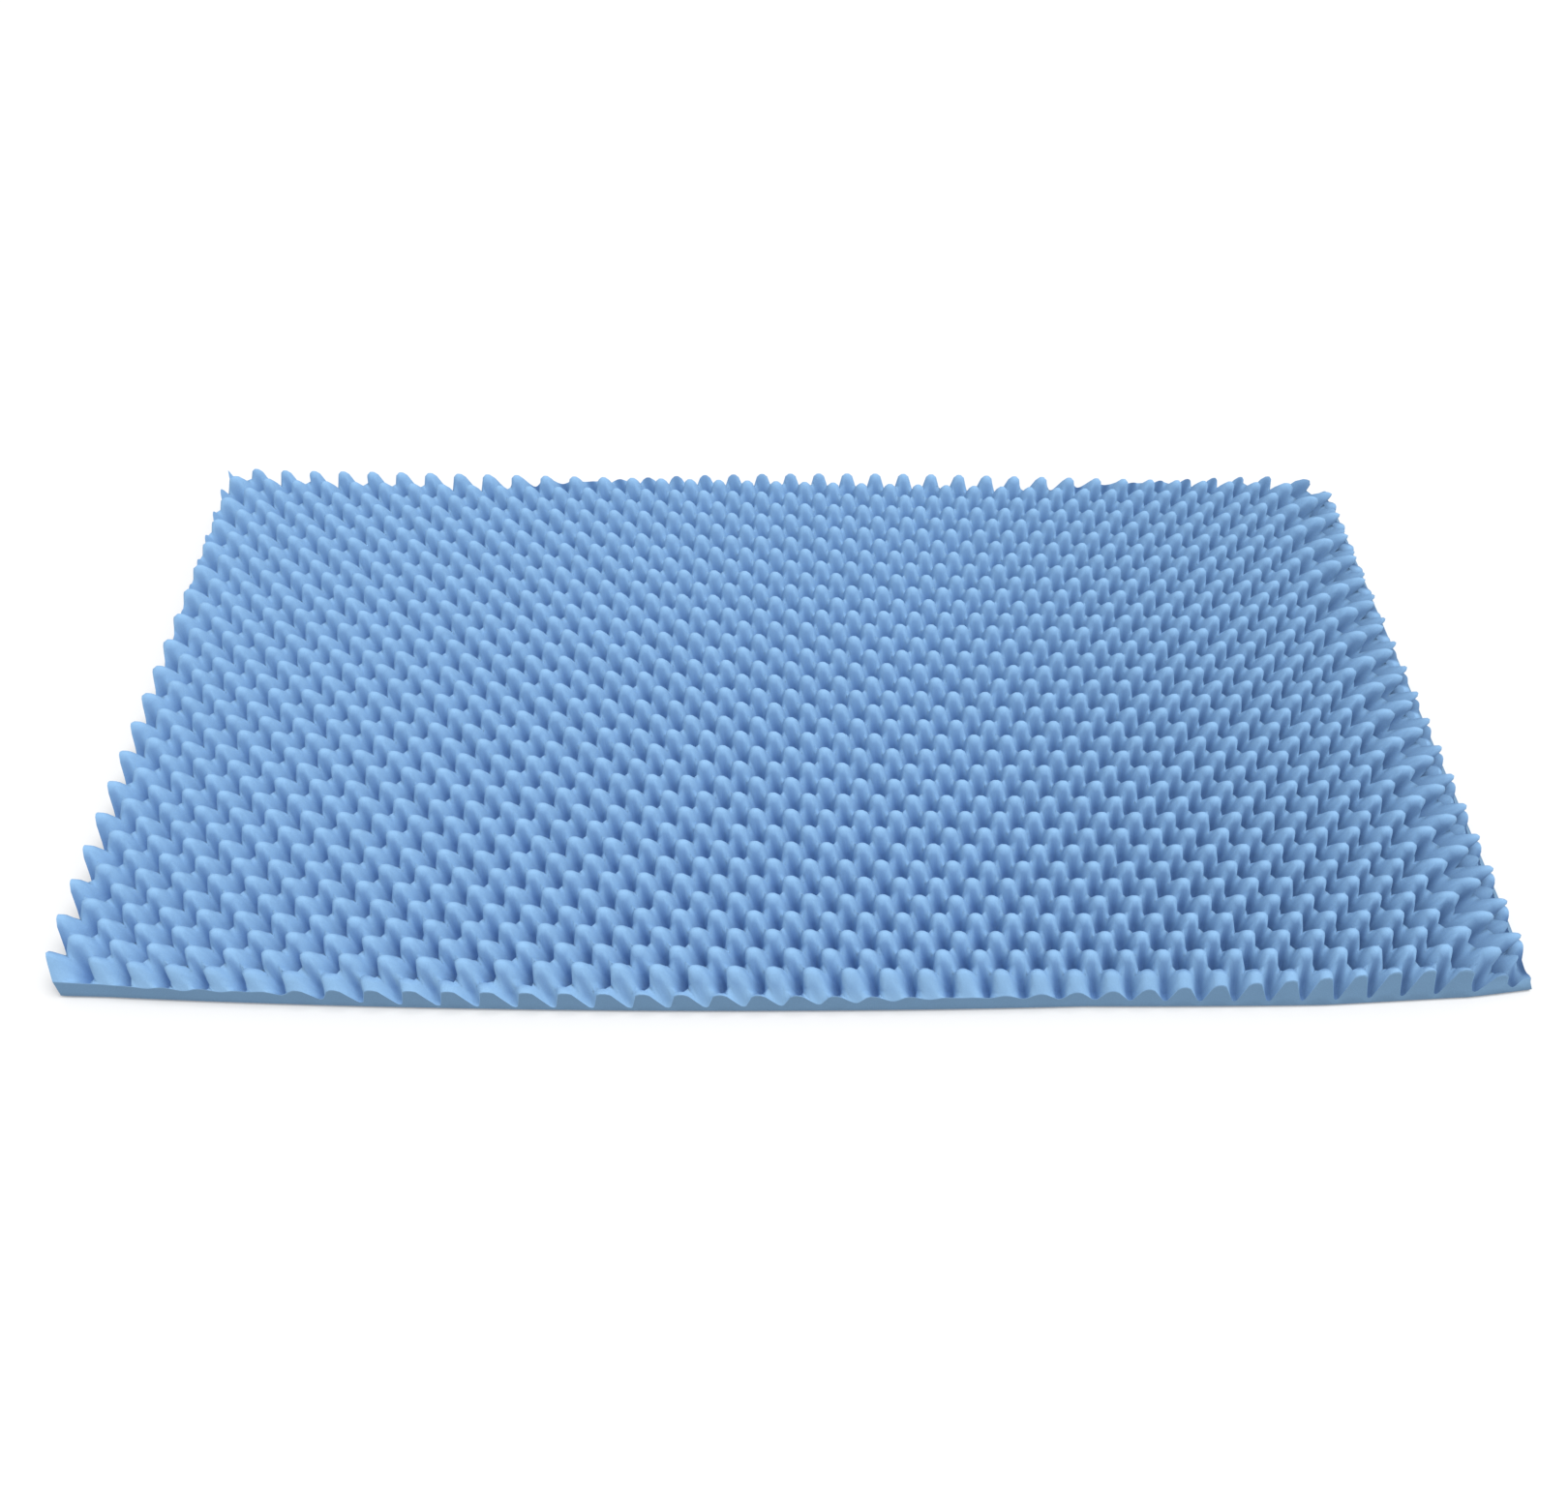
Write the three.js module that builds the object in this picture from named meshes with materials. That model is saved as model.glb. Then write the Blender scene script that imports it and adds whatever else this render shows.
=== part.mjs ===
// Convoluted foam mattress topper for a single bed: one slab of foam, lying flat.
// Its upper face is a field of rounded peaks and wells, like an egg crate, its underside is flat,
// and its four sides are straight cuts through the pattern.
// Millimetres, +Z up, the long side along X, the origin on the underside at the slab's middle.
import * as THREE from "three";

const LENGTH = 1905;
const WIDTH = 991;
const PEAK_HEIGHT = 64;
const SADDLE_HEIGHT = 45;
const WELL_HEIGHT = 14;

// Distance from a peak to the next well, along the length and across the width.
const COLUMN_PITCH = 23.8;
const ROW_PITCH = 27.75;
// The rows of peaks run a little askew to the cut sides.
const PATTERN_TURN = THREE.MathUtils.degToRad(1.35);
// Where the slab's middle falls in the pattern, counted from a peak.
const MIDDLE = { column: 0.93, row: 0.01 };
// A cell of the pattern belongs to the slab when its centre is this far inside the cut, in pitches.
const CELL_MARGIN = 0.12;
// Every second point of the cut edge stands on a point of the underside.
const POST_STEP = 2;

const FOAM_COLOUR = 0x6f9fd6;
const FOAM_ROUGHNESS = 0.95;

const turnCos = Math.cos(PATTERN_TURN);
const turnSin = Math.sin(PATTERN_TURN);

// Place on the slab of a point of the pattern.
function place(column, row) {
  const along = (column - MIDDLE.column) * COLUMN_PITCH;
  const across = (row - MIDDLE.row) * ROW_PITCH;
  return new THREE.Vector2(along * turnCos + across * turnSin, across * turnCos - along * turnSin);
}

// Height of the upper face: the product of two cosine waves, raised above the saddles by the peaks
// and sunk below them by the wells.
function reliefHeight(point) {
  const column = (point.x * turnCos - point.y * turnSin) / COLUMN_PITCH + MIDDLE.column;
  const row = (point.x * turnSin + point.y * turnCos) / ROW_PITCH + MIDDLE.row;
  const wave = Math.cos(Math.PI * column) * Math.cos(Math.PI * row);
  const reach = wave > 0 ? PEAK_HEIGHT - SADDLE_HEIGHT : SADDLE_HEIGHT - WELL_HEIGHT;
  return SADDLE_HEIGHT + reach * wave;
}

// The cells of the pattern, each a square between two peaks and two wells, that lie on the slab.
function slabCells() {
  const halfLength = LENGTH / 2 - CELL_MARGIN * COLUMN_PITCH;
  const halfWidth = WIDTH / 2 - CELL_MARGIN * ROW_PITCH;
  const columns = Math.ceil(LENGTH / COLUMN_PITCH);
  const rows = Math.ceil(WIDTH / ROW_PITCH);
  const cells = [];
  for (let row = -rows; row < rows; row += 1) {
    for (let column = -columns; column < columns; column += 1) {
      const centre = place(column + 0.5, row + 0.5);
      if (Math.abs(centre.x) < halfLength && Math.abs(centre.y) < halfWidth) {
        cells.push({ column, row, centre });
      }
    }
  }
  return cells;
}

// The corners of a cell, counter-clockwise from above.
function cellCorners({ column, row }) {
  return [[column, row], [column + 1, row], [column + 1, row + 1], [column, row + 1]];
}

// The pattern points along the rim of the cells, in counter-clockwise order.
function rimLoop(cells) {
  const edges = new Map();
  for (const cell of cells) {
    const corners = cellCorners(cell);
    corners.forEach((corner, index) => {
      const next = corners[(index + 1) % corners.length];
      edges.set(`${corner}>${next}`, { corner, next });
    });
  }
  // An edge that no neighbouring cell runs along the other way is on the rim.
  const outgoing = new Map();
  for (const { corner, next } of edges.values()) {
    if (!edges.has(`${next}>${corner}`)) {
      outgoing.set(String(corner), next);
    }
  }
  const loop = [outgoing.values().next().value];
  let next = outgoing.get(String(loop[0]));
  while (String(next) !== String(loop[0])) {
    loop.push(next);
    next = outgoing.get(String(next));
  }
  return loop;
}

// Moves the rim's points out to the straight cuts and its nearest points to the slab's four corners.
function cutRim(loop) {
  const cut = loop.map(([column, row]) => {
    const point = place(column, row);
    const toEnd = LENGTH / 2 - Math.abs(point.x);
    const toSide = WIDTH / 2 - Math.abs(point.y);
    if (toEnd < toSide) {
      point.x = Math.sign(point.x) * LENGTH / 2;
    } else {
      point.y = Math.sign(point.y) * WIDTH / 2;
    }
    return point;
  });
  // Where the rim steps in by a row, the inner point goes midway between its neighbours.
  loop.forEach((here, index) => {
    const before = (index + loop.length - 1) % loop.length;
    const after = (index + 1) % loop.length;
    const arriving = [here[0] - loop[before][0], here[1] - loop[before][1]];
    const leaving = [loop[after][0] - here[0], loop[after][1] - here[1]];
    if (arriving[0] * leaving[1] - arriving[1] * leaving[0] < 0) {
      cut[index].lerpVectors(cut[before], cut[after], 0.5);
    }
  });
  const cornerIndices = [];
  for (const [endSign, sideSign] of [[-1, -1], [1, -1], [1, 1], [-1, 1]]) {
    const corner = new THREE.Vector2(endSign * LENGTH / 2, sideSign * WIDTH / 2);
    const distances = cut.map((point) => point.distanceTo(corner));
    const nearest = distances.indexOf(Math.min(...distances));
    cut[nearest].copy(corner);
    cornerIndices.push(nearest);
  }
  return { cut, cornerIndices };
}

// The rim's points that stand on the underside: the corners, and every second point between them.
function postIndices(count, cornerIndices) {
  const posts = [];
  cornerIndices.forEach((start, side) => {
    const end = cornerIndices[(side + 1) % cornerIndices.length];
    const run = (end - start + count) % count;
    for (let step = 0; step < run; step += POST_STEP) {
      posts.push((start + step) % count);
    }
  });
  return posts;
}

// The whole slab as one closed mesh: upper face, cut sides and underside.
function slabGeometry() {
  const points = [];
  const triangles = [];
  const addPoint = ({ x, y }, z) => points.push(new THREE.Vector3(x, y, z)) - 1;

  const cells = slabCells();
  const loop = rimLoop(cells);
  const { cut, cornerIndices } = cutRim(loop);

  const topIndex = new Map();
  loop.forEach((corner, index) => {
    topIndex.set(String(corner), addPoint(cut[index], reliefHeight(cut[index])));
  });
  for (const cell of cells) {
    const saddle = addPoint(cell.centre, SADDLE_HEIGHT);
    const corners = cellCorners(cell).map((corner) => {
      const key = String(corner);
      if (!topIndex.has(key)) {
        const point = place(...corner);
        topIndex.set(key, addPoint(point, reliefHeight(point)));
      }
      return topIndex.get(key);
    });
    corners.forEach((corner, index) => {
      triangles.push(corner, corners[(index + 1) % corners.length], saddle);
    });
  }

  const posts = postIndices(loop.length, cornerIndices);
  const feet = posts.map((post) => addPoint(cut[post], 0));
  const middle = addPoint(new THREE.Vector2(), 0);
  const rimIndex = (index) => topIndex.get(String(loop[index % loop.length]));
  posts.forEach((post, order) => {
    const nextOrder = (order + 1) % posts.length;
    const run = (posts[nextOrder] - post + loop.length) % loop.length;
    const shared = Math.floor(run / 2);
    for (let step = 0; step < run; step += 1) {
      const foot = step < shared ? feet[order] : feet[nextOrder];
      triangles.push(foot, rimIndex(post + step + 1), rimIndex(post + step));
    }
    triangles.push(feet[order], feet[nextOrder], rimIndex(post + shared));
    triangles.push(feet[nextOrder], feet[order], middle);
  });

  const geometry = new THREE.BufferGeometry().setFromPoints(points);
  geometry.setIndex(triangles);
  geometry.computeVertexNormals();
  return geometry;
}

const foam = new THREE.MeshStandardMaterial({
  color: FOAM_COLOUR,
  roughness: FOAM_ROUGHNESS,
  metalness: 0,
});
const slab = new THREE.Mesh(slabGeometry(), foam);
slab.name = "foam_slab";

const topper = new THREE.Group();
topper.add(slab);

export default topper;
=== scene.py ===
# %% [markdown]
# # A convoluted foam mattress topper
# The real thing is one slab of soft blue foam. A foam maker squeezes a block between two rollers with
# staggered bumps and slices it in the middle while it is squeezed. When it springs back, the slice has
# become a field of rounded peaks and wells. The slab is then trimmed straight on four sides.
#
# This lesson loads the plain solid of the slab, makes the fine surface that stands for it, gives it a foam
# finish, and sets up the floor, the light and the camera. Lengths are in metres.

# %% Load the plain solid
import math

import bmesh
import bpy
import numpy as np
from mathutils import Matrix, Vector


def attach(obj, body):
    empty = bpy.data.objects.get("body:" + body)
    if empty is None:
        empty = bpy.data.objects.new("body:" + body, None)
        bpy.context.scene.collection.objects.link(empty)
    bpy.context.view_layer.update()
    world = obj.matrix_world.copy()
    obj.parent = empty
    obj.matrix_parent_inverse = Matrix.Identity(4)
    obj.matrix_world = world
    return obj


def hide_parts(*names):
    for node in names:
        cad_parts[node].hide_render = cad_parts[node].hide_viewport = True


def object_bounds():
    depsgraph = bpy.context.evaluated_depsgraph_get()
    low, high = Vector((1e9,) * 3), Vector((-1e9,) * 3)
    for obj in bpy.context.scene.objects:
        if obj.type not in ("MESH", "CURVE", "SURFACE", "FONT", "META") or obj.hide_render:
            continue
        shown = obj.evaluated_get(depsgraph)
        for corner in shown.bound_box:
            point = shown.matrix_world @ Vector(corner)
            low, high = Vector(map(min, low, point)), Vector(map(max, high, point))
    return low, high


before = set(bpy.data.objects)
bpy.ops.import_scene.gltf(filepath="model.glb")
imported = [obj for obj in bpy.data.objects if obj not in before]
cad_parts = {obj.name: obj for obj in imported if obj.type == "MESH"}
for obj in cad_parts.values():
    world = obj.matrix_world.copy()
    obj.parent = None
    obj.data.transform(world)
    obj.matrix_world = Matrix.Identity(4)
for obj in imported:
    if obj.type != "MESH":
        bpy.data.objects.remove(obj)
solid_box = [list(corner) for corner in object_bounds()]
print("solid from", np.round(solid_box[0], 4), "to", np.round(solid_box[1], 4))

# %% [markdown]
# ## The measures of the slab
# The box of the solid gives the length, the width and the height of the peaks. The peaks stand in staggered
# rows, and it is handy to count them: `column` and `row` go up by one from a peak to the next well, so peaks
# are where column + row is even and wells are where it is odd. The pattern runs a little askew to the cut
# sides, which is why a side cuts through wells at one place and through peaks at another.

# %% Measures
LENGTH, WIDTH, PEAK = np.round(np.subtract(solid_box[1], solid_box[0]), 6)
SADDLE, WELL = 0.045, 0.014
COLUMN_PITCH, ROW_PITCH = 0.0238, 0.02775
PATTERN_TURN = math.radians(1.35)
TURN_COS, TURN_SIN = math.cos(PATTERN_TURN), math.sin(PATTERN_TURN)
MIDDLE_COLUMN, MIDDLE_ROW = 0.93, 0.20


def to_slab(column, row):
    """Place on the slab: the pattern's two pitches, turned clockwise by the pattern's angle."""
    along = (column - MIDDLE_COLUMN) * COLUMN_PITCH
    across = (row - MIDDLE_ROW) * ROW_PITCH
    return along * TURN_COS + across * TURN_SIN, across * TURN_COS - along * TURN_SIN


def to_pattern(x, y):
    """The other way round: column and row of a place on the slab."""
    column = (x * TURN_COS - y * TURN_SIN) / COLUMN_PITCH + MIDDLE_COLUMN
    row = (x * TURN_SIN + y * TURN_COS) / ROW_PITCH + MIDDLE_ROW
    return column, row


print("columns", round(LENGTH / COLUMN_PITCH, 1), "rows", round(WIDTH / ROW_PITCH, 1))

# %% [markdown]
# ## The relief
# The product of two cosine waves is 1 on the peaks, -1 in the wells and 0 on the saddles between them.
# A sculpting brush or a displacement texture could raise the bumps too, but a formula gives the height at
# any place exactly. The wave goes through a curve that passes the three heights and is gentle at both ends,
# which rounds the tips and the floors of the wells. The flanks are fuller along a row than across it, more so
# at the front than at the back, and a second wave adds that.

# %% Relief
TIP_SLOPE, WELL_SLOPE = 0.011, 0.012
FULL_FRONT, FULL_BACK = 0.006, 0.0036


def relief(column, row):
    """Height of the upper face: a polynomial of the wave w = cos(pi column) cos(pi row).

    It is SADDLE at w = 0, PEAK at w = 1 with slope TIP_SLOPE, and WELL at w = -1 with slope WELL_SLOPE.
    A fullness times sin(pi column)^2 cos(pi row)^2 is added, which is nothing at peaks, wells and saddles.
    It goes evenly from FULL_FRONT to FULL_BACK across the width.
    """
    wave = np.cos(np.pi * column) * np.cos(np.pi * row)
    half = (PEAK - WELL) / 2
    lift = (PEAK + WELL) / 2 - SADDLE
    cubic = ((TIP_SLOPE + WELL_SLOPE) / 2 - half) / 2
    fourth = ((TIP_SLOPE - WELL_SLOPE) / 2 - 2 * lift) / 2
    height = SADDLE + (half - cubic) * wave + (lift - fourth) * wave**2 + cubic * wave**3 + fourth * wave**4
    fullness = FULL_FRONT + (FULL_BACK - FULL_FRONT) * (row * ROW_PITCH / WIDTH + 0.5)
    return height + fullness * (np.sin(np.pi * column) * np.cos(np.pi * row)) ** 2


print("peak, saddle and well", [round(float(relief(*spot)), 4) for spot in ((0, 0), (0.5, 0.5), (1, 0))])

# %% [markdown]
# ## Where the blade goes
# The blade cuts four straight sides, and cuts in soft foam are never quite square. At the left end and along
# the back they run slightly askew, so the corners are trimmed by different amounts. The corners of the
# upper cut are listed counter-clockwise. From each corner a tangent runs along its side, and a normal
# points outwards.

# %% Blade
LEFT_FRONT_TRIM, LEFT_BACK_TRIM, RIGHT_TRIM = 0.013, 0.021, 0.007
BACK_LEFT_TRIM, BACK_RIGHT_EXTRA = 0.011, 0.002
CORNERS = np.array([
    (LEFT_FRONT_TRIM - LENGTH / 2, -WIDTH / 2),
    (LENGTH / 2 - RIGHT_TRIM, -WIDTH / 2),
    (LENGTH / 2 - RIGHT_TRIM, WIDTH / 2 + BACK_RIGHT_EXTRA),
    (LEFT_BACK_TRIM - LENGTH / 2, WIDTH / 2 - BACK_LEFT_TRIM),
])
TANGENTS = np.roll(CORNERS, -1, axis=0) - CORNERS
TANGENTS /= np.linalg.norm(TANGENTS, axis=1, keepdims=True)
NORMALS = np.stack([TANGENTS[:, 1], -TANGENTS[:, 0]], axis=1)
print("blade corners", CORNERS.round(4).tolist())

# %% [markdown]
# ## The upper face
# A grid that follows the pattern puts a vertex on every tip and on every well floor. The grid lines crowd
# together there, because that is where the surface bends most. The grid is made too large and then trimmed
# with Blender's bisect tool at the four sides, as the maker's blade does. Cutting the flat grid first and
# lifting it afterwards keeps the cut edge exactly on the surface.

# %% Trimmed grid
SAMPLES = np.array([0.0, 0.14, 0.36, 0.64, 0.86])
SPARE_COLUMNS, SPARE_ROWS = 2, 3
ON_BLADE = 1e-6


def crowded(count):
    """Grid lines from -count to count pitches, with the samples of one pitch repeated in each."""
    return np.append((np.arange(-count, count)[:, None] + SAMPLES).ravel(), count)


def grid_faces(across, along):
    """Four-sided faces of a grid of vertices stored row by row, counter-clockwise from above."""
    corner = (np.arange(across - 1)[:, None] * along + np.arange(along - 1)).ravel()
    return np.stack([corner, corner + 1, corner + along + 1, corner + along], axis=1)


def trimmed_grid():
    """Flat pattern grid cut along the blade's sides: vertex places and faces of three corners."""
    columns = crowded(math.ceil(LENGTH / COLUMN_PITCH / 2) + SPARE_COLUMNS)
    rows = crowded(math.ceil(WIDTH / ROW_PITCH / 2) + SPARE_ROWS)
    x, y = to_slab(*np.meshgrid(columns, rows))
    places = np.stack([x, y, np.zeros_like(x)], axis=-1).reshape(-1, 3)
    flat = bpy.data.meshes.new("flat_grid")
    flat.from_pydata(places, [], grid_faces(len(rows), len(columns)))
    cutter = bmesh.new()
    cutter.from_mesh(flat)
    for corner, normal in zip(CORNERS, NORMALS):
        bmesh.ops.bisect_plane(
            cutter, geom=cutter.verts[:] + cutter.edges[:] + cutter.faces[:], dist=ON_BLADE,
            plane_co=(*corner, 0), plane_no=(*normal, 0), clear_outer=True,
        )
    bmesh.ops.triangulate(cutter, faces=cutter.faces[:])
    cutter.to_mesh(flat)
    cutter.free()
    places = np.empty(len(flat.vertices) * 3)
    flat.vertices.foreach_get("co", places)
    faces = np.empty(len(flat.polygons) * 3, dtype=np.int32)
    flat.loops.foreach_get("vertex_index", faces)
    bpy.data.meshes.remove(flat)
    return places.reshape(-1, 3), faces.reshape(-1, 3)


top, top_faces = trimmed_grid()
print("upper face", len(top), "vertices", len(top_faces), "triangles")

# %% [markdown]
# ## The heights
# Each point of the trimmed grid now gets its height from the relief. The blade drags soft foam down with it,
# so the heights droop along the front cut, less so towards the right. Near the left end of that cut it also
# drags the rows aside by a quarter of a pitch, so that the rim is nearly level there. A sculpting brush has
# a falloff for such local changes; here `bell` and `ramp` are two falloffs written as formulas.

# %% Heights
DROOP, DROOP_RIGHT, DROOP_REACH = 0.38, 0.15, 0.012
DROOP_CHANGE_START, DROOP_CHANGE_END = 0.2 * LENGTH, 0.4 * LENGTH
ASIDE, ASIDE_PLACE, ASIDE_REACH = 0.25, -0.74, 0.15


def bell(distance, reach):
    """1 at distance 0, falling to nothing on both sides as exp(-(distance / reach)^2)."""
    return np.exp(-((distance / reach) ** 2))


def ramp(value, start, end):
    """0 up to start, 1 from end on, and straight in between."""
    return np.clip((value - start) / (end - start), 0, 1)


by_cut = bell(top[:, 1] + WIDTH / 2, DROOP_REACH)
droop = DROOP + (DROOP_RIGHT - DROOP) * ramp(top[:, 0], DROOP_CHANGE_START, DROOP_CHANGE_END)
column, row = to_pattern(top[:, 0], top[:, 1])
row = row - ASIDE * by_cut * bell(top[:, 0] - ASIDE_PLACE, ASIDE_REACH)
top[:, 2] = relief(column, row) * (1 - droop * by_cut)
print("heights from", round(top[:, 2].min(), 4), "to", round(top[:, 2].max(), 4))

# %% [markdown]
# ## The cut sides and the underside
# The upper edge of the cut faces is the trimmed edge of the grid, put in order round the slab. Copies of that
# edge at lower heights make a band of quads down to the floor, and the last copy is drawn in a little, as a
# soft edge is where it meets the floor. The underside is a fan of triangles from the middle. Solidify could
# close the slab too, but it would copy the bumps.

# %% Sides and underside
WALL_SHARES = np.array([0.92, 0.6, 0.3, 0.0])
DRAWN_IN, DRAWN_UP = 0.003, 0.004
NEAR_BLADE = 2e-5


def rim_order(places, faces):
    """Vertices on the four sides in counter-clockwise order, and the positions of the corners among them.

    A vertex is on the rim when it ends an edge that only one face uses.
    """
    edges = np.sort(np.concatenate([faces[:, [0, 1]], faces[:, [1, 2]], faces[:, [2, 0]]]), axis=1)
    ends, uses = np.unique(edges, axis=0, return_counts=True)
    on_rim = np.zeros(len(places), dtype=bool)
    on_rim[ends[uses == 1]] = True
    runs = []
    for corner, tangent, normal in zip(CORNERS, TANGENTS, NORMALS):
        offset = places[:, :2] - corner
        found = np.flatnonzero(on_rim & (np.abs(offset @ normal) < NEAR_BLADE))
        runs.append(found[np.argsort(offset[found] @ tangent)][:-1])
    starts = np.cumsum([0] + [len(run) for run in runs[:-1]])
    return np.concatenate(runs), starts


rim, corner_starts = rim_order(top, top_faces)
around = len(rim)
wall = np.repeat(top[rim][None], len(WALL_SHARES) + 1, axis=0)
wall[:-1, :, 2] = DRAWN_UP + (top[rim, 2] - DRAWN_UP) * WALL_SHARES[:, None]
wall[-1, :, 2] = 0
wall[-1, :, :2] *= 1 - DRAWN_IN / np.array([LENGTH / 2, WIDTH / 2])
rings = np.vstack([rim, len(top) + np.arange(wall.shape[0] * around).reshape(-1, around)])
upper, lower = rings[:-1], rings[1:]
wall_corners = [upper, lower, np.roll(lower, -1, axis=1), np.roll(upper, -1, axis=1)]
wall_faces = np.stack(wall_corners, axis=-1).reshape(-1, 4)
floor_ring = rings[-1]
middle = len(top) + wall.shape[0] * around
floor_faces = np.stack([np.roll(floor_ring, -1), floor_ring, np.full(around, middle)], axis=-1)
points = np.vstack([top, wall.reshape(-1, 3), np.zeros((1, 3))])
print("rim", around, "points, sides", len(wall_faces), "quads, underside", len(floor_faces), "triangles")

# %% [markdown]
# ## The right end
# This end lay outermost when the slab was rolled up, so its peaks fan out until they point along the floor
# like leaves, and the last ones are squashed low. A Bend modifier would turn the whole end and lift the
# underside with it. Here only what stands above the well floors is lowered, made more pointed and turned,
# and the underside stays flat. The front corner is less fanned and lower still.

# %% Right end
FAN, FAN_MIDDLE, FAN_WIDTH = math.radians(60), 0.083, 0.026
LOW_START, LOW_END, LOW_SHARE, POINTED = 0.055, 0.022, 0.2, 1.0
CORNER_REACH, CORNER_FAN, CORNER_LOW = 0.025, 0.6, 0.45


def smooth(share):
    """A share from 0 to 1, eased at both ends: 3 share^2 - 2 share^3."""
    return share**2 * (3 - 2 * share)


def right_end(x, y, z):
    """The fanned share, and how far out and how far up a point reaches from the level of the well floors.

    With d the distance to the end, the share is (1 - tanh((d - FAN_MIDDLE) / FAN_WIDTH)) / 2. The height
    above the well floors, as a part of the peaks', is raised to the power 1 + POINTED times the share and
    lowered smoothly to LOW_SHARE from LOW_START to LOW_END. It is then turned outwards by FAN times the
    share.
    """
    from_end = LENGTH / 2 - x
    fanned = (1 - np.tanh((from_end - FAN_MIDDLE) / FAN_WIDTH)) / 2
    by_corner = bell(y + WIDTH / 2, CORNER_REACH) * fanned
    kept = LOW_SHARE + (1 - LOW_SHARE) * smooth(ramp(from_end, LOW_END, LOW_START))
    rise = np.maximum(z - WELL, 0) / (PEAK - WELL)
    above = (PEAK - WELL) * rise ** (1 + POINTED * fanned) * kept * (1 - CORNER_LOW * by_corner)
    angle = FAN * fanned * (1 - CORNER_FAN * by_corner)
    return fanned, np.sin(angle) * above, np.cos(angle) * above


print("fanned by half", FAN_MIDDLE, "m from the end")

# %% [markdown]
# ## How the foam settles
# Soft foam never lies quite straight. The long front side bows, and the pattern is a little wider at one end.
# The peaks lean to the left and a little to the back, as the rollers dragged them. Towards the two ends
# their feet move inwards as well, so they lean outwards there. Along the cuts the feet spread a little.
# A lattice could bend the slab in this way by hand, but a sum of simple moves can be read and changed
# one by one.

# %% Settle
LEAN_BACK, LEAN_FRONT, LEAN_AWAY = -0.07, -0.17, 0.09
RIGHT_LEAN, RIGHT_LEAN_START, RIGHT_LEAN_END = 0.35, 0.2, 0.8
LEFT_LEAN, LEFT_LEAN_START, LEFT_LEAN_END = 0.16, 0.1, 0.7
EDGE_REACH, EDGE_LEAN, EDGE_LEAN_CHANGE = 0.06, -0.13, 0.07
DRIFT, STRETCH, BOW = -0.0145, -0.0174, 0.0298
LEFT_REACH, LEFT_SPREAD, LEFT_FOOT = 0.022, 0.010, 0.014
LEFT_BACK_REACH, LEFT_BACK_LEAN = 0.07, 0.13
RIGHT_REACH, RIGHT_FOOT, RIGHT_CORNER = 0.03, 0.017, 0.010
SWELL, SWELL_START, SWELL_FULL, SWELL_FADE, SWELL_END = 0.012, 0.35, 0.70, 0.91, 1.06


def settled(rest):
    """Moves of a place on the slab, with a from -1 to 1 along it and f from 0 at the back to 1 at the front.

    Leans move a point by a slope times its height, or times its depth below the tips where the tips are to
    stay. x also grows by DRIFT (a^2 - 1/2) and STRETCH (a^3 - a), and y by BOW f (a^2 - 1/2). Near a cut the
    feet move outwards, fading as a bell of the distance to it.
    """
    x, y, z = rest.T
    along = 2 * x / LENGTH
    front = 0.5 - y / WIDTH
    foot = 1 - z / PEAK
    below = np.minimum(z, WELL)
    by_front = bell(y + WIDTH / 2, EDGE_REACH)
    from_left = (CORNERS[3] - rest[:, :2]) @ NORMALS[3]
    from_right = LENGTH / 2 - RIGHT_TRIM - x
    fanned, out, up = right_end(x, y, z)

    lean = LEAN_BACK + (LEAN_FRONT - LEAN_BACK) * front
    right_lean = RIGHT_LEAN * ramp(along, RIGHT_LEAN_START, RIGHT_LEAN_END)
    left_lean = LEFT_LEAN * (1 - front) * ramp(-along, LEFT_LEAN_START, LEFT_LEAN_END)
    edge_lean = (EDGE_LEAN + EDGE_LEAN_CHANGE * along) * by_front
    leans = lean * z - (right_lean - left_lean + edge_lean) * PEAK * foot
    left_foot = (LEFT_SPREAD + LEFT_FOOT * foot * by_front) * bell(from_left, LEFT_REACH)
    right_foot = (RIGHT_FOOT - RIGHT_CORNER * by_front) * (1 - below / WELL) * bell(from_right, RIGHT_REACH)
    swell = SWELL * ramp(along, SWELL_START, SWELL_FULL) * ramp(along, SWELL_END, SWELL_FADE)

    moved_x = x + leans * (1 - fanned) + out - left_foot + right_foot
    moved_x += DRIFT * (along**2 - 0.5) + STRETCH * (along**3 - along)
    moved_y = y + LEAN_AWAY * z + LEFT_BACK_LEAN * z * bell(from_left, LEFT_BACK_REACH)
    moved_y += BOW * front * (along**2 - 0.5) - swell * foot * by_front
    return np.stack([moved_x, moved_y, below + up], axis=-1)


settled_points = settled(points)
print("largest move", np.abs(settled_points - points).max(axis=0).round(4))

# %% [markdown]
# ## Painted shade in the wells
# The wells are darkened in the colour. This is painted shade, standing in for the light that the peaks round
# a well keep out of it. Two shares of painted shade are worked out for each point of the upper face: one for
# the inside of a well, and a deeper one for the gaps between the leaning peaks on the right. Baked ambient
# occlusion would give much the same, but a formula needs no bake.

# %% Painted well shades
SHADE_START, SHADE_END = 0.97, 0.0
RIM_REACH, BACK_FADE = 0.008, 0.45
RIGHT_SHADE, RIGHT_SHADE_START, RIGHT_SHADE_END = 0.8, 0.2, 0.8
END_SHADE, END_REACH = 0.95, 0.11


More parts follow.
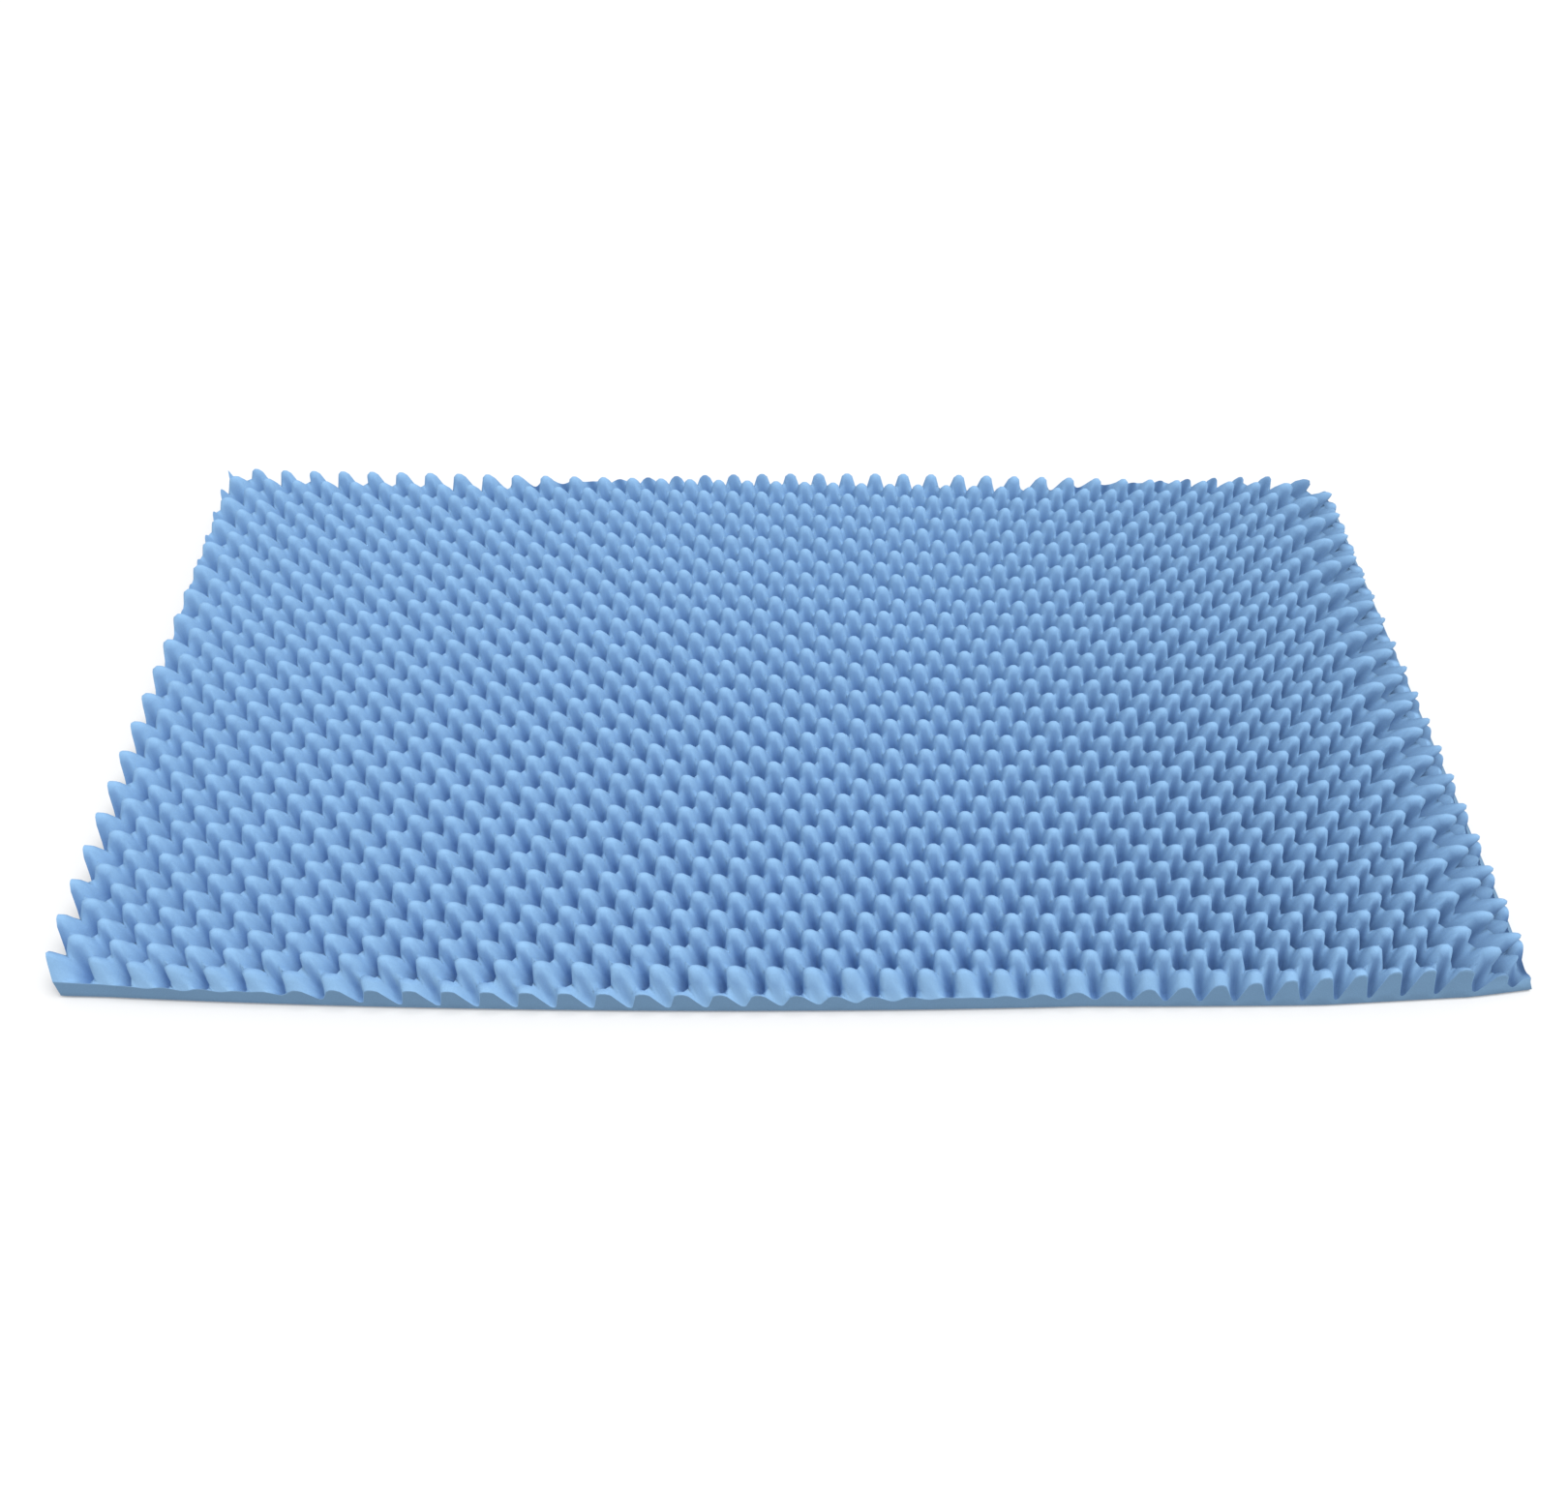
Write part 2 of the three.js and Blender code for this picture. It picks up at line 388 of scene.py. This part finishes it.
def painted_shades():
    """Two shares of painted shade for each point of the upper face, from 0 to 1: in the wells and in the
    gaps.

    The well's painted shade is cos(pi column)^2 times a smooth step down the flank, from w = SHADE_START to w
    = SHADE_END.
    It fades towards the back and, but for the right, at the front rim. The deeper painted shade in the gaps
    is the larger of
    RIGHT_SHADE times the well's shade on the right and END_SHADE times the root of the depth below the tips
    near the right end.
    """
    x, y, z = top.T
    down = ramp(np.cos(np.pi * column) * np.cos(np.pi * row), SHADE_START, SHADE_END)
    to_right = ramp(2 * x / LENGTH, RIGHT_SHADE_START, RIGHT_SHADE_END)
    fade = (1 - bell(y + WIDTH / 2, RIM_REACH) * (1 - to_right)) * (1 - BACK_FADE * (y / WIDTH + 0.5))
    painted_well_shade = np.cos(np.pi * column) ** 2 * smooth(down) * fade
    depth = np.sqrt(1 - ramp(z, WELL, PEAK))
    painted_gap_shade = np.maximum(END_SHADE * depth * bell(LENGTH / 2 - x, END_REACH), RIGHT_SHADE * to_right * painted_well_shade)
    return painted_well_shade, painted_gap_shade


# Painted shade: these shares darken the wells and the gaps between the leaning peaks.
top_painted_well_shade, top_painted_gap_shade = painted_shades()
print("mean hollow", round(top_painted_well_shade.mean(), 3), "mean gap", round(top_painted_gap_shade.mean(), 3))

# %% [markdown]
# ## One closed mesh
# The three groups of faces go into one mesh. The upper face is shaded smooth, and the edges where the
# blade went through are marked sharp, so that light breaks there. Attributes go along for the finish: the two
# shares of painted shade, which are nothing off the upper face, and `cut`, which tells the cut faces from the
# moulded one and carries the painted shade of the sides.

# %% Foam mesh
def sharp_edges(mesh):
    """True for the edges along the rim, along the floor and down the four corners."""
    ends = np.empty(len(mesh.edges) * 2, dtype=np.int32)
    mesh.edges.foreach_get("vertices", ends)
    ends = ends.reshape(-1, 2)
    at_corner = np.zeros(len(points), dtype=bool)
    at_corner[rings[:, corner_starts]] = True
    sharp = at_corner[ends].all(axis=1)
    for ring in (rim, floor_ring):
        order = np.full(len(points), -1)
        order[ring] = np.arange(around)
        first, second = order[ends].T
        step = np.abs(first - second)
        sharp |= (first >= 0) & (second >= 0) & ((step == 1) | (step == around - 1))
    return sharp


def store_share(mesh, name, on_top, elsewhere):
    """Stores a share for each point: on_top on the upper face, elsewhere on the sides and the underside."""
    values = np.full(len(points), elsewhere, dtype=np.float32)
    values[:len(top)] = on_top
    mesh.attributes.new(name, "FLOAT", "POINT").data.foreach_set("value", values)


def foam_mesh():
    """Joins the faces, marks the blade's edges sharp and stores the shares for the finish."""
    mesh = bpy.data.meshes.new("convoluted_foam")
    mesh.from_pydata(settled_points, [], top_faces.tolist() + wall_faces.tolist() + floor_faces.tolist())
    mesh.polygons.foreach_set("use_smooth", np.ones(len(mesh.polygons), dtype=bool))
    mesh.attributes.new("sharp_edge", "BOOLEAN", "EDGE").data.foreach_set("value", sharp_edges(mesh))
    # Painted shade in the wells and between the leaning peaks on the right.
    store_share(mesh, "painted_well_shade", top_painted_well_shade, 0)
    store_share(mesh, "painted_gap_shade", top_painted_gap_shade, 0)
    # Painted shade on the cut sides. It is 0 on the rim, so the top strip of each side blends into a painted
    # highlight along the rim.
    store_share(mesh, "cut", 0, 1)
    mesh.update()
    return mesh


foam = bpy.data.objects.new("convoluted_foam", foam_mesh())
bpy.context.collection.objects.link(foam)
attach(foam, "root")
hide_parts("foam_slab")
print("foam", len(foam.data.vertices), "vertices", len(foam.data.polygons), "faces")

# %% [markdown]
# ## A small helper for finishes
# A finish is a graph of nodes. Wrapping a socket in a class lets the graph be written as sums:
# an operator on a wrapped value adds the Math node for it and wraps that node's output.

# %% Shader values
class Value:
    """One output of a node graph, on which +, - and * add Math nodes."""

    def __init__(self, tree, socket=None):
        self.tree = tree
        self.socket = socket

    def node(self, kind, settings, sockets, output=0):
        """Add a node of this kind: its settings first, then each socket's value or link."""
        made = self.tree.nodes.new(kind)
        for name, setting in settings.items():
            setattr(made, name, setting)
        for key, value in sockets.items():
            if isinstance(value, Value):
                self.tree.links.new(value.socket, made.inputs[key])
            else:
                made.inputs[key].default_value = value
        return Value(self.tree, made.outputs[output])

    def maths(self, operation, first, second):
        return self.node("ShaderNodeMath", {"operation": operation}, {0: first, 1: second})

    def __add__(self, other):
        return self.maths("ADD", self, other)

    def __sub__(self, other):
        return self.maths("SUBTRACT", self, other)

    def __mul__(self, other):
        return self.maths("MULTIPLY", self, other)

    def __rsub__(self, other):
        return self.maths("SUBTRACT", other, self)

    __radd__ = __add__
    __rmul__ = __mul__

    def mix(self, first, second):
        """A colour between first and second, with this value as the share of the second."""
        return self.node("ShaderNodeMix", {"data_type": "RGBA"}, {0: self, 6: first, 7: second}, output=2)


print("shader values ready")

# %% [markdown]
# ## The foam's finish
# Soft foam is matte and full of tiny open cells, far smaller than a peak. The finish starts from the blue of
# the tips and goes to a deeper blue where shade is painted into the wells, to the deepest where shade is
# painted between the leaning peaks on the right, and to a darker, greyer painted shade on the cut sides,
# which blends back to the tips' blue at the rim as a painted highlight along it. Noise adds a faint mottling,
# and
# Voronoi cells of about a millimetre add a speckle and a fine bump. A tiled picture of foam could do this
# too, but its seams would show on the cuts.

# %% Foam finish
TIP_BLUE = (0.22, 0.39, 0.61, 1)
# Painted shade: the next two blues darken the wells and, deeper still, the gaps between the leaning peaks.
WELL_SHADE_BLUE = (0.10, 0.205, 0.42, 1)
GAP_SHADE_BLUE = (0.035, 0.075, 0.16, 1)
# Painted shade: the cut sides are darker and greyer, standing in for the lower light on the upright faces.
SIDE_SHADE_BLUE = (0.14, 0.25, 0.39, 1)
CELL_SCALE, MOTTLE_SCALE, MOTTLE_DETAIL = 750.0, 22.0, 3.0
SPECKLE, MOTTLE = 0.12, 0.12
CELL_DEPTH, CELL_STRENGTH = 0.0006, 0.5
ROUGHNESS, GLOSS = 0.95, 0.15


def foam_finish():
    """The tips' blue mixed by the stored shares with three blues of painted shade, times a tone of speckle
    and mottle; the cells are the bump.
    """
    material = bpy.data.materials.new("soft_blue_foam")
    material.use_nodes = True
    tree = material.node_tree
    shader = tree.nodes["Principled BSDF"]
    start = Value(tree)
    place = start.node("ShaderNodeTexCoord", {}, {}, output="Object")
    cells = start.node("ShaderNodeTexVoronoi", {}, {"Vector": place, "Scale": CELL_SCALE}, output="Distance")
    noise = {"Vector": place, "Scale": MOTTLE_SCALE, "Detail": MOTTLE_DETAIL}
    mottle = start.node("ShaderNodeTexNoise", {}, noise)
    blue = TIP_BLUE
    # Each share paints shade over the tips' blue: in the wells, between the leaning peaks, and on the cut
    # sides.
    for name, deeper in (("painted_well_shade", WELL_SHADE_BLUE), ("painted_gap_shade", GAP_SHADE_BLUE), ("cut", SIDE_SHADE_BLUE)):
        share = start.node("ShaderNodeAttribute", {"attribute_name": name}, {}, output="Fac")
        blue = share.mix(blue, deeper)
    tone = (mottle - 0.5) * MOTTLE + cells * SPECKLE + (1 - SPECKLE / 2)
    multiply = {"data_type": "RGBA", "blend_type": "MULTIPLY"}
    blue = start.node("ShaderNodeMix", multiply, {0: 1.0, 6: blue, 7: tone}, output=2)
    pits = {"Strength": CELL_STRENGTH, "Distance": CELL_DEPTH, "Height": cells}
    bump = start.node("ShaderNodeBump", {}, pits)
    tree.links.new(blue.socket, shader.inputs["Base Color"])
    tree.links.new(bump.socket, shader.inputs["Normal"])
    shader.inputs["Roughness"].default_value = ROUGHNESS
    shader.inputs["Specular IOR Level"].default_value = GLOSS
    return material


foam.data.materials.append(foam_finish())
print("finish", foam.data.materials[0].name)

# %% [markdown]
# ## Floor and light
# The topper lies on a plain white floor under a wide soft light from above, in a white room. A wide light
# leaves hardly any shadow, so the form shows by how much sky each place sees. An area lamp would do as well,
# but a sun with a wide angle lights the whole length of the slab evenly.

# %% Floor and light
FLOOR_SIZE, FLOOR_DROP, FLOOR_TONE, FLOOR_GLOW = 12.0, 0.0004, 0.6, 0.12
ROOM_LIGHT = 0.8
LAMP_TILT, LAMP_SPREAD, LAMP_POWER = math.radians(12), math.radians(40), 2.5
WHITE = (1, 1, 1, 1)


def white_floor():
    """A large white square just under the slab."""
    half = FLOOR_SIZE / 2
    corners = [(end * half, side * half, -FLOOR_DROP) for end, side in ((-1, -1), (1, -1), (1, 1), (-1, 1))]
    mesh = bpy.data.meshes.new("floor")
    mesh.from_pydata(corners, [], [(0, 1, 2, 3)])
    material = bpy.data.materials.new("white_floor")
    material.use_nodes = True
    shader = material.node_tree.nodes["Principled BSDF"]
    shader.inputs["Base Color"].default_value = (FLOOR_TONE, FLOOR_TONE, FLOOR_TONE, 1)
    shader.inputs["Roughness"].default_value = 1.0
    shader.inputs["Specular IOR Level"].default_value = 0.0
    shader.inputs["Emission Color"].default_value = WHITE
    shader.inputs["Emission Strength"].default_value = FLOOR_GLOW
    mesh.materials.append(material)
    floor = bpy.data.objects.new("floor", mesh)
    bpy.context.collection.objects.link(floor)
    return floor


def white_room():
    """An even white light from all round."""
    world = bpy.data.worlds.new("white_room")
    world.use_nodes = True
    background = world.node_tree.nodes["Background"]
    background.inputs["Color"].default_value = WHITE
    background.inputs["Strength"].default_value = ROOM_LIGHT
    return world


def top_light():
    """A soft light from a round patch of sky, LAMP_SPREAD wide and LAMP_TILT to the right of straight up."""
    data = bpy.data.lights.new("top_light", "SUN")
    data.angle = LAMP_SPREAD
    data.energy = LAMP_POWER
    lamp = bpy.data.objects.new("top_light", data)
    lamp.rotation_euler = (0, LAMP_TILT, 0)
    bpy.context.collection.objects.link(lamp)


white_floor()
scene = bpy.context.scene
scene.view_settings.view_transform = "Standard"
scene.world = white_room()
top_light()
print("floor, room and light ready")

# %% [markdown]
# ## Camera
# The camera stands in front of the long side and looks down on the slab at about 49 degrees, turned
# slightly to the right and rolled a little. A Track To constraint could aim it, but it can't roll, so its
# three axes are worked out from those angles and put into a matrix.

# %% Camera
IMAGE_WIDTH, FOCAL_PIXELS, SENSOR = 1620, 1481.5, 36.0
CAMERA_PLACE = (-0.1218, -1.4444, 1.6143)
LOOK_DOWN, LOOK_RIGHT, ROLL = math.radians(49.477), math.radians(3.734), math.radians(2.867)


def photo_camera():
    """Axes from the angles: forward, level right and up, the last two then rolled about forward."""
    level = math.cos(LOOK_DOWN)
    forward = np.array([math.sin(LOOK_RIGHT) * level, math.cos(LOOK_RIGHT) * level, -math.sin(LOOK_DOWN)])
    right = np.array([math.cos(LOOK_RIGHT), -math.sin(LOOK_RIGHT), 0.0])
    up = np.cross(right, forward)
    rolled_right = right * math.cos(ROLL) + up * math.sin(ROLL)
    rolled_up = up * math.cos(ROLL) - right * math.sin(ROLL)
    axes = np.eye(4)
    axes[:3, :3] = np.stack([rolled_right, rolled_up, -forward], axis=1)
    axes[:3, 3] = CAMERA_PLACE
    data = bpy.data.cameras.new("photo_camera")
    data.sensor_width = SENSOR
    data.lens = FOCAL_PIXELS / IMAGE_WIDTH * SENSOR
    camera = bpy.data.objects.new("photo_camera", data)
    camera.matrix_world = Matrix(axes)
    bpy.context.collection.objects.link(camera)
    return camera


scene.camera = photo_camera()
print("lens", round(scene.camera.data.lens, 2), "mm")
